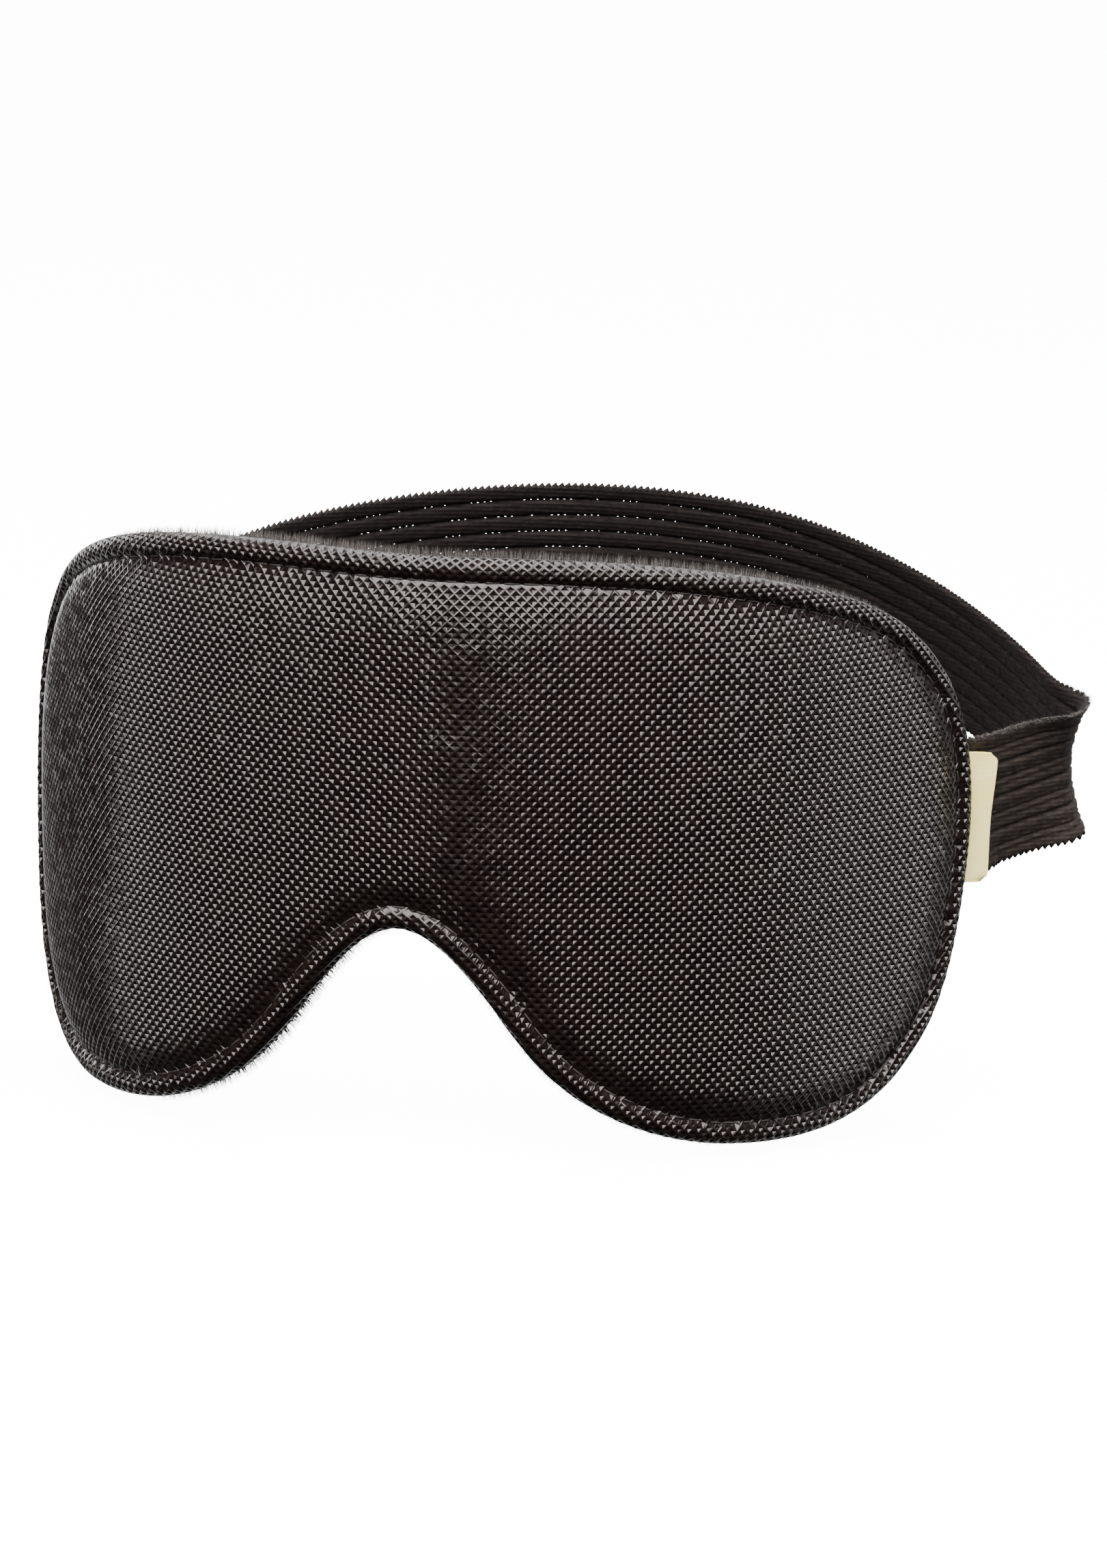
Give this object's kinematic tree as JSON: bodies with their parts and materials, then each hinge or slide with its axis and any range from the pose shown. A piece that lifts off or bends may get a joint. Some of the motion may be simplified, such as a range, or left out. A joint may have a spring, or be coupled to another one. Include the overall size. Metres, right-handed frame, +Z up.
{
  "type": "sleep mask",
  "caption": "Contoured padded sleep mask with a nose notch, an embossed leatherette front, a plush lining, a side label and an elastic strap.",
  "frame": {"origin": "where the plush lining rests on the bridge of the nose, at eye level in the middle of the pad", "axes": "+Z up, +Y towards the wearer's head, so the embossed front faces -Y; +X is on the label's side"},
  "size_m": [0.1799, 0.1637, 0.1015],
  "materials": {
    "leatherette": "gloss",
    "interlining": "matte",
    "foam": "matte",
    "plush": "matte",
    "thread": "satin",
    "elastic": "matte",
    "rubber_core": "satin",
    "label": "satin"
  },
  "bodies": {
    "mask": {"front_shell": "leatherette", "shell_backing": "interlining", "foam_pad": "foam", "plush_lining": "plush", "topstitch_needle_thread": "thread", "topstitch_bobbin_thread": "thread", "closing_seam_thread": "thread", "strap_tab_right": "elastic", "strap_tab_left": "elastic", "bar_tack_right": "thread", "bar_tack_left": "thread", "label_tab": "label", "strap_root_right": "elastic", "strap_root_left": "elastic"},
    "strap_loop": {"strap_end_right": "elastic", "elastic_cores_end_right": "rubber_core", "strap_end_left": "elastic", "elastic_cores_end_left": "rubber_core", "strap_side_right": "elastic", "elastic_cores_side_right": "rubber_core", "strap_side_left": "elastic", "elastic_cores_side_left": "rubber_core"},
    "strap_back": {"strap_rear": "elastic", "elastic_cores_rear": "rubber_core"},
    "side_label": {"label_flap": "label"}
  },
  "joints": [
    {"name": "strap_swing", "type": "hinge", "parent": "mask", "child": "strap_loop", "pos_m": [0, 0.06354, -0.0075], "axis": [1, 0, 0], "range_deg": [-25, 5], "stiffness_Nm_per_rad": 0.2, "deforming": ["strap_root_right", "strap_root_left"]},
    {"name": "strap_stretch", "type": "slide", "parent": "strap_loop", "child": "strap_back", "axis": [0, 0.9613, 0.2756], "range_m": [0, 0.06], "stiffness_N_per_m": 120, "deforming": ["strap_side_right", "strap_side_left", "elastic_cores_side_right", "elastic_cores_side_left"]},
    {"name": "label_swing", "type": "hinge", "parent": "mask", "child": "side_label", "pos_m": [0.08224, 0.06251, -0.0085], "axis": [0, 0, -1], "range_deg": [0, 46], "stiffness_Nm_per_rad": 0.000005}
  ]
}
